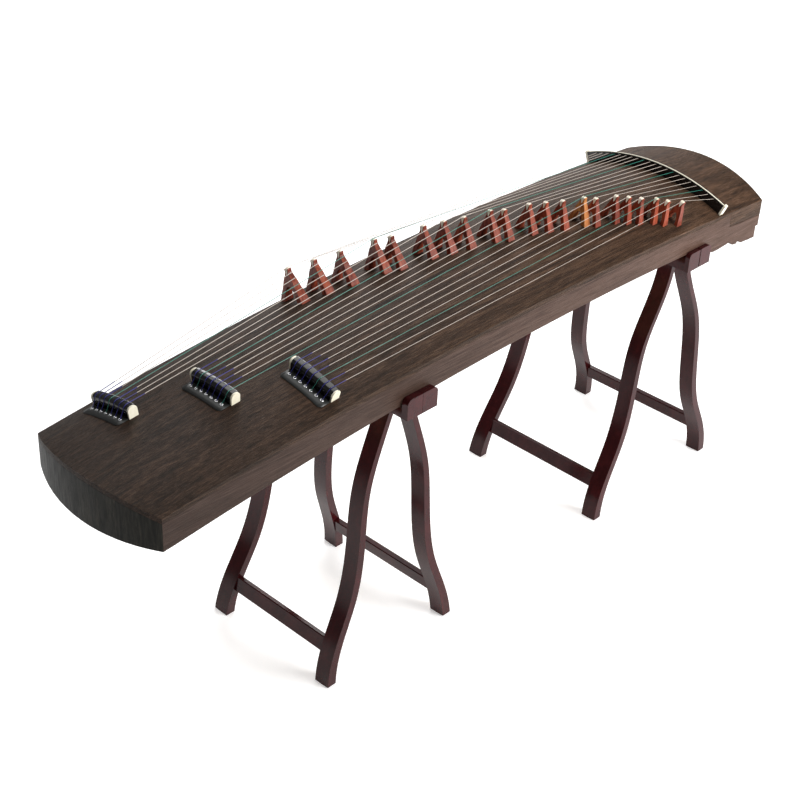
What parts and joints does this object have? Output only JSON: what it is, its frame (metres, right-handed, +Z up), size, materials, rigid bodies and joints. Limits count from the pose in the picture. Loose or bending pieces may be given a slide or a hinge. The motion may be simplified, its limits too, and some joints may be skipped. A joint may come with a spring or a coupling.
{
  "type": "guzheng",
  "caption": "Long plucked zither with an arched, cambered soundboard, movable two-footed bridges, three tail nuts and a lidded pin box, lying across two folding A-frame stands.",
  "frame": {"origin": "on the floor, under the middle of the bounding box", "axes": "+X from the tail to the head, -Y toward the player, +Z up"},
  "size_m": [1.63, 0.363, 0.7021],
  "materials": {
    "paulownia": "charred and brushed, satin",
    "dark_wood": "stained, satin",
    "plain_wood": "bare",
    "ebony": "polished",
    "bone": "polished bone",
    "plate_steel": "dark brushed",
    "string": "nylon wound over steel",
    "rosewood": "oiled",
    "pin_steel": "nickel plated",
    "lacquer": "gloss red-brown lacquer",
    "hinge_brass": "brushed"
  },
  "bodies": {
    "stands": {"tail_stand_tailward_frame": "lacquer", "tail_stand_tailward_hinges": "hinge_brass", "head_stand_tailward_frame": "lacquer", "head_stand_tailward_hinges": "hinge_brass"},
    "tail_stand_headward": {"tail_stand_headward_frame": "lacquer", "tail_stand_headward_hinges": "hinge_brass"},
    "head_stand_headward": {"head_stand_headward_frame": "lacquer", "head_stand_headward_hinges": "hinge_brass"},
    "soundbox": {"soundboard": "paulownia", "side_rails": "dark_wood", "end_panels": "dark_wood", "bottom_board": "plain_wood", "inner_frame": "plain_wood", "nuts": "ebony", "bone_trim": "bone", "anchor_plates": "plate_steel", "strings": "string"},
    "pin_lid": {"lid": "dark_wood"},
    "bridge_01_body": {"bridge_01": "rosewood"},
    "bridge_02_body": {"bridge_02": "rosewood"},
    "bridge_03_body": {"bridge_03": "rosewood"},
    "bridge_04_body": {"bridge_04": "rosewood"},
    "bridge_05_body": {"bridge_05": "rosewood"},
    "bridge_06_body": {"bridge_06": "rosewood"},
    "bridge_07_body": {"bridge_07": "rosewood"},
    "bridge_08_body": {"bridge_08": "rosewood"},
    "bridge_09_body": {"bridge_09": "rosewood"},
    "bridge_10_body": {"bridge_10": "rosewood"},
    "bridge_11_body": {"bridge_11": "rosewood"},
    "bridge_12_body": {"bridge_12": "rosewood"},
    "bridge_13_body": {"bridge_13": "rosewood"},
    "bridge_14_body": {"bridge_14": "rosewood"},
    "bridge_15_body": {"bridge_15": "rosewood"},
    "bridge_16_body": {"bridge_16": "rosewood"},
    "bridge_17_body": {"bridge_17": "rosewood"},
    "bridge_18_body": {"bridge_18": "rosewood"},
    "bridge_19_body": {"bridge_19": "rosewood"},
    "bridge_20_body": {"bridge_20": "rosewood"},
    "bridge_21_body": {"bridge_21": "rosewood"},
    "tuning_pin_01_body": {"tuning_pin_01": "pin_steel"},
    "tuning_pin_02_body": {"tuning_pin_02": "pin_steel"},
    "tuning_pin_03_body": {"tuning_pin_03": "pin_steel"},
    "tuning_pin_04_body": {"tuning_pin_04": "pin_steel"},
    "tuning_pin_05_body": {"tuning_pin_05": "pin_steel"},
    "tuning_pin_06_body": {"tuning_pin_06": "pin_steel"},
    "tuning_pin_07_body": {"tuning_pin_07": "pin_steel"},
    "tuning_pin_08_body": {"tuning_pin_08": "pin_steel"},
    "tuning_pin_09_body": {"tuning_pin_09": "pin_steel"},
    "tuning_pin_10_body": {"tuning_pin_10": "pin_steel"},
    "tuning_pin_11_body": {"tuning_pin_11": "pin_steel"},
    "tuning_pin_12_body": {"tuning_pin_12": "pin_steel"},
    "tuning_pin_13_body": {"tuning_pin_13": "pin_steel"},
    "tuning_pin_14_body": {"tuning_pin_14": "pin_steel"},
    "tuning_pin_15_body": {"tuning_pin_15": "pin_steel"},
    "tuning_pin_16_body": {"tuning_pin_16": "pin_steel"},
    "tuning_pin_17_body": {"tuning_pin_17": "pin_steel"},
    "tuning_pin_18_body": {"tuning_pin_18": "pin_steel"},
    "tuning_pin_19_body": {"tuning_pin_19": "pin_steel"},
    "tuning_pin_20_body": {"tuning_pin_20": "pin_steel"},
    "tuning_pin_21_body": {"tuning_pin_21": "pin_steel"}
  },
  "joints": [
    {"name": "tail_stand_fold", "type": "hinge", "parent": "stands", "child": "tail_stand_headward", "pos_m": [-0.2366, 0, 0.5125], "axis": [0, 1, 0], "range_deg": [0, 24]},
    {"name": "head_stand_fold", "type": "hinge", "parent": "stands", "child": "head_stand_headward", "pos_m": [0.5642, 0, 0.5089], "axis": [0, 1, 0], "range_deg": [0, 31]},
    {"name": "soundbox_lift", "type": "slide", "parent": "stands", "child": "soundbox", "axis": [0, 0, 1], "range_m": [0, 0.12]},
    {"name": "lid_lift", "type": "slide", "parent": "soundbox", "child": "pin_lid", "axis": [0, 0, 1], "range_m": [0, 0.1]},
    {"name": "bridge_01_slide", "type": "slide", "parent": "soundbox", "child": "bridge_01_body", "axis": [0.9987, 0, 0.0517], "range_m": [-0.01, 0.01], "deforming": ["strings"]},
    {"name": "bridge_02_slide", "type": "slide", "parent": "soundbox", "child": "bridge_02_body", "axis": [0.9989, 0, 0.0462], "range_m": [-0.01, 0.01], "deforming": ["strings"]},
    {"name": "bridge_03_slide", "type": "slide", "parent": "soundbox", "child": "bridge_03_body", "axis": [0.9992, 0, 0.0406], "range_m": [-0.01, 0.01], "deforming": ["strings"]},
    {"name": "bridge_04_slide", "type": "slide", "parent": "soundbox", "child": "bridge_04_body", "axis": [0.9995, 0, 0.0325], "range_m": [-0.00389, 0.00389], "deforming": ["strings"]},
    {"name": "bridge_05_slide", "type": "slide", "parent": "soundbox", "child": "bridge_05_body", "axis": [0.9996, 0, 0.0293], "range_m": [-0.00389, 0.00389], "deforming": ["strings"]},
    {"name": "bridge_06_slide", "type": "slide", "parent": "soundbox", "child": "bridge_06_body", "axis": [0.9998, 0, 0.0215], "range_m": [-0.00825, 0.00825], "deforming": ["strings"]},
    {"name": "bridge_07_slide", "type": "slide", "parent": "soundbox", "child": "bridge_07_body", "axis": [0.9999, 0, 0.0171], "range_m": [-0.00825, 0.00825], "deforming": ["strings"]},
    {"name": "bridge_08_slide", "type": "slide", "parent": "soundbox", "child": "bridge_08_body", "axis": [0.9999, 0, 0.0127], "range_m": [-0.00867, 0.00867], "deforming": ["strings"]},
    {"name": "bridge_09_slide", "type": "slide", "parent": "soundbox", "child": "bridge_09_body", "axis": [1, 0, 0.0063], "range_m": [-0.00189, 0.00189], "deforming": ["strings"]},
    {"name": "bridge_10_slide", "type": "slide", "parent": "soundbox", "child": "bridge_10_body", "axis": [1, 0, 0.0038], "range_m": [-0.00189, 0.00189], "deforming": ["strings"]},
    {"name": "bridge_11_slide", "type": "slide", "parent": "soundbox", "child": "bridge_11_body", "axis": [1, 0, -0.0024], "range_m": [-0.00609, 0.00609], "deforming": ["strings"]},
    {"name": "bridge_12_slide", "type": "slide", "parent": "soundbox", "child": "bridge_12_body", "axis": [1, 0, -0.006], "range_m": [-0.00609, 0.00609], "deforming": ["strings"]},
    {"name": "bridge_13_slide", "type": "slide", "parent": "soundbox", "child": "bridge_13_body", "axis": [1, 0, -0.0097], "range_m": [-0.00645, 0.00645], "deforming": ["strings"]},
    {"name": "bridge_14_slide", "type": "slide", "parent": "soundbox", "child": "bridge_14_body", "axis": [0.9999, 0, -0.0151], "range_m": [-0.00082, 0.00082], "deforming": ["strings"]},
    {"name": "bridge_15_slide", "type": "slide", "parent": "soundbox", "child": "bridge_15_body", "axis": [0.9999, 0, -0.0172], "range_m": [-0.00082, 0.00082], "deforming": ["strings"]},
    {"name": "bridge_16_slide", "type": "slide", "parent": "soundbox", "child": "bridge_16_body", "axis": [0.9998, 0, -0.0223], "range_m": [-0.00211, 0.00211], "deforming": ["strings"]},
    {"name": "bridge_17_slide", "type": "slide", "parent": "soundbox", "child": "bridge_17_body", "axis": [0.9997, 0, -0.0248], "range_m": [-0.00211, 0.00211], "deforming": ["strings"]},
    {"name": "bridge_18_slide", "type": "slide", "parent": "soundbox", "child": "bridge_18_body", "axis": [0.9996, 0, -0.0272], "range_m": [-0.00239, 0.00239], "deforming": ["strings"]},
    {"name": "bridge_19_slide", "type": "slide", "parent": "soundbox", "child": "bridge_19_body", "axis": [0.9995, 0, -0.0308], "range_m": [-0.00108, 0.00108], "deforming": ["strings"]},
    {"name": "bridge_20_slide", "type": "slide", "parent": "soundbox", "child": "bridge_20_body", "axis": [0.9995, 0, -0.0329], "range_m": [-0.00108, 0.00108], "deforming": ["strings"]},
    {"name": "bridge_21_slide", "type": "slide", "parent": "soundbox", "child": "bridge_21_body", "axis": [0.9993, 0, -0.0363], "range_m": [-0.00618, 0.00618], "deforming": ["strings"]},
    {"name": "tuning_pin_01_turn", "type": "hinge", "parent": "soundbox", "child": "tuning_pin_01_body", "pos_m": [0.69856, 0.12854, 0.57053], "axis": [0.0545, 0.3279, 0.9431], "continuous": true},
    {"name": "tuning_pin_02_turn", "type": "hinge", "parent": "soundbox", "child": "tuning_pin_02_body", "pos_m": [0.72364, 0.11569, 0.57327], "axis": [0.0579, 0.2951, 0.9537], "continuous": true},
    {"name": "tuning_pin_03_turn", "type": "hinge", "parent": "soundbox", "child": "tuning_pin_03_body", "pos_m": [0.74872, 0.10283, 0.57545], "axis": [0.0612, 0.2623, 0.963], "continuous": true},
    {"name": "tuning_pin_04_turn", "type": "hinge", "parent": "soundbox", "child": "tuning_pin_04_body", "pos_m": [0.6992, 0.08998, 0.58172], "axis": [0.0562, 0.2295, 0.9717], "continuous": true},
    {"name": "tuning_pin_05_turn", "type": "hinge", "parent": "soundbox", "child": "tuning_pin_05_body", "pos_m": [0.72423, 0.07712, 0.58305], "axis": [0.0594, 0.1967, 0.9787], "continuous": true},
    {"name": "tuning_pin_06_turn", "type": "hinge", "parent": "soundbox", "child": "tuning_pin_06_body", "pos_m": [0.74925, 0.06427, 0.58385], "axis": [0.0626, 0.164, 0.9845], "continuous": true},
    {"name": "tuning_pin_07_turn", "type": "hinge", "parent": "soundbox", "child": "tuning_pin_07_body", "pos_m": [0.69961, 0.05142, 0.58879], "axis": [0.0572, 0.1312, 0.9897], "continuous": true},
    {"name": "tuning_pin_08_turn", "type": "hinge", "parent": "soundbox", "child": "tuning_pin_08_body", "pos_m": [0.72458, 0.03856, 0.5888], "axis": [0.0603, 0.0984, 0.9933], "continuous": true},
    {"name": "tuning_pin_09_turn", "type": "hinge", "parent": "soundbox", "child": "tuning_pin_09_body", "pos_m": [0.74953, 0.02571, 0.5883], "axis": [0.0633, 0.0656, 0.9958], "continuous": true},
    {"name": "tuning_pin_10_turn", "type": "hinge", "parent": "soundbox", "child": "tuning_pin_10_body", "pos_m": [0.69979, 0.01285, 0.59196], "axis": [0.0577, 0.0328, 0.9978], "continuous": true},
    {"name": "tuning_pin_11_turn", "type": "hinge", "parent": "soundbox", "child": "tuning_pin_11_body", "pos_m": [0.7247, 0, 0.59069], "axis": [0.0606, 0, 0.9982], "continuous": true},
    {"name": "tuning_pin_12_turn", "type": "hinge", "parent": "soundbox", "child": "tuning_pin_12_body", "pos_m": [0.74958, -0.01285, 0.58894], "axis": [0.0634, -0.0328, 0.9974], "continuous": true},
    {"name": "tuning_pin_13_turn", "type": "hinge", "parent": "soundbox", "child": "tuning_pin_13_body", "pos_m": [0.69976, -0.02571, 0.59133], "axis": [0.0576, -0.0656, 0.9962], "continuous": true},
    {"name": "tuning_pin_14_turn", "type": "hinge", "parent": "soundbox", "child": "tuning_pin_14_body", "pos_m": [0.72458, -0.03856, 0.5888], "axis": [0.0603, -0.0984, 0.9933], "continuous": true},
    {"name": "tuning_pin_15_turn", "type": "hinge", "parent": "soundbox", "child": "tuning_pin_15_body", "pos_m": [0.74937, -0.05142, 0.58577], "axis": [0.0629, -0.1312, 0.9894], "continuous": true},
    {"name": "tuning_pin_16_turn", "type": "hinge", "parent": "soundbox", "child": "tuning_pin_16_body", "pos_m": [0.6995, -0.06427, 0.58687], "axis": [0.0569, -0.164, 0.9848], "continuous": true},
    {"name": "tuning_pin_17_turn", "type": "hinge", "parent": "soundbox", "child": "tuning_pin_17_body", "pos_m": [0.72423, -0.07712, 0.58305], "axis": [0.0594, -0.1967, 0.9787], "continuous": true},
    {"name": "tuning_pin_18_turn", "type": "hinge", "parent": "soundbox", "child": "tuning_pin_18_body", "pos_m": [0.74892, -0.08998, 0.5787], "axis": [0.0618, -0.2295, 0.9713], "continuous": true},
    {"name": "tuning_pin_19_turn", "type": "hinge", "parent": "soundbox", "child": "tuning_pin_19_body", "pos_m": [0.69902, -0.10283, 0.57846], "axis": [0.0557, -0.2623, 0.9634], "continuous": true},
    {"name": "tuning_pin_20_turn", "type": "hinge", "parent": "soundbox", "child": "tuning_pin_20_body", "pos_m": [0.72364, -0.11569, 0.57327], "axis": [0.0579, -0.2951, 0.9537], "continuous": true},
    {"name": "tuning_pin_21_turn", "type": "hinge", "parent": "soundbox", "child": "tuning_pin_21_body", "pos_m": [0.74821, -0.12854, 0.56752], "axis": [0.0599, -0.3279, 0.9428], "continuous": true}
  ]
}
